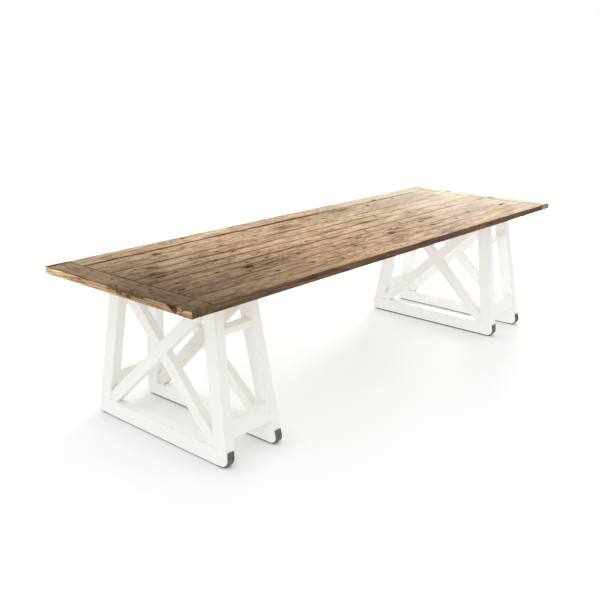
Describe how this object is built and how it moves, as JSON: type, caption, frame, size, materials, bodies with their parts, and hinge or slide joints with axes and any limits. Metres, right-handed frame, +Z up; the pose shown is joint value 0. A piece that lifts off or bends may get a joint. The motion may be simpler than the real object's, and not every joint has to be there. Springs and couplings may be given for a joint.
{
  "type": "sawbuck table",
  "caption": "Long sawbuck dining table: reclaimed plank top with end boards, carried on splayed, cross-braced painted trestles with rubber-soled foot runners.",
  "frame": {"origin": "on the floor, below the middle of the table top", "axes": "+X along the table's length, +Y towards its back long edge, +Z up"},
  "size_m": [3, 1.02, 0.775],
  "materials": {
    "plank_pine": "oiled reclaimed pine, worn",
    "end_board_pine": "oiled reclaimed pine, worn",
    "batten_pine": "plain sawn pine",
    "white_paint": "matte off-white paint on pine",
    "strip_rubber": "matte dark rubber",
    "screw_steel": "zinc plated"
  },
  "bodies": {
    "root": {"coach_screws": "screw_steel", "left_back_stretcher": "white_paint", "left_back_upper_bar": "white_paint", "left_batten": "batten_pine", "left_end_board": "end_board_pine", "left_front_stretcher": "white_paint", "left_front_upper_bar": "white_paint", "left_inner_back_stile": "white_paint", "left_inner_front_stile": "white_paint", "left_inner_head_rail": "white_paint", "left_inner_lapping_brace": "white_paint", "left_inner_notched_brace": "white_paint", "left_inner_runner": "white_paint", "left_inner_runner_strip": "strip_rubber", "left_outer_back_stile": "white_paint", "left_outer_front_stile": "white_paint", "left_outer_head_rail": "white_paint", "left_outer_lapping_brace": "white_paint", "left_outer_notched_brace": "white_paint", "left_outer_runner": "white_paint", "left_outer_runner_strip": "strip_rubber", "middle_batten": "batten_pine", "right_back_stretcher": "white_paint", "right_back_upper_bar": "white_paint", "right_batten": "batten_pine", "right_end_board": "end_board_pine", "right_front_stretcher": "white_paint", "right_front_upper_bar": "white_paint", "right_inner_back_stile": "white_paint", "right_inner_front_stile": "white_paint", "right_inner_head_rail": "white_paint", "right_inner_lapping_brace": "white_paint", "right_inner_notched_brace": "white_paint", "right_inner_runner": "white_paint", "right_inner_runner_strip": "strip_rubber", "right_outer_back_stile": "white_paint", "right_outer_front_stile": "white_paint", "right_outer_head_rail": "white_paint", "right_outer_lapping_brace": "white_paint", "right_outer_notched_brace": "white_paint", "right_outer_runner": "white_paint", "right_outer_runner_strip": "strip_rubber", "top_plank_01": "plank_pine", "top_plank_02": "plank_pine", "top_plank_03": "plank_pine", "top_plank_04": "plank_pine", "top_plank_05": "plank_pine", "top_plank_06": "plank_pine", "top_plank_07": "plank_pine", "top_plank_08": "plank_pine", "top_plank_09": "plank_pine", "top_plank_10": "plank_pine"}
  },
  "joints": []
}
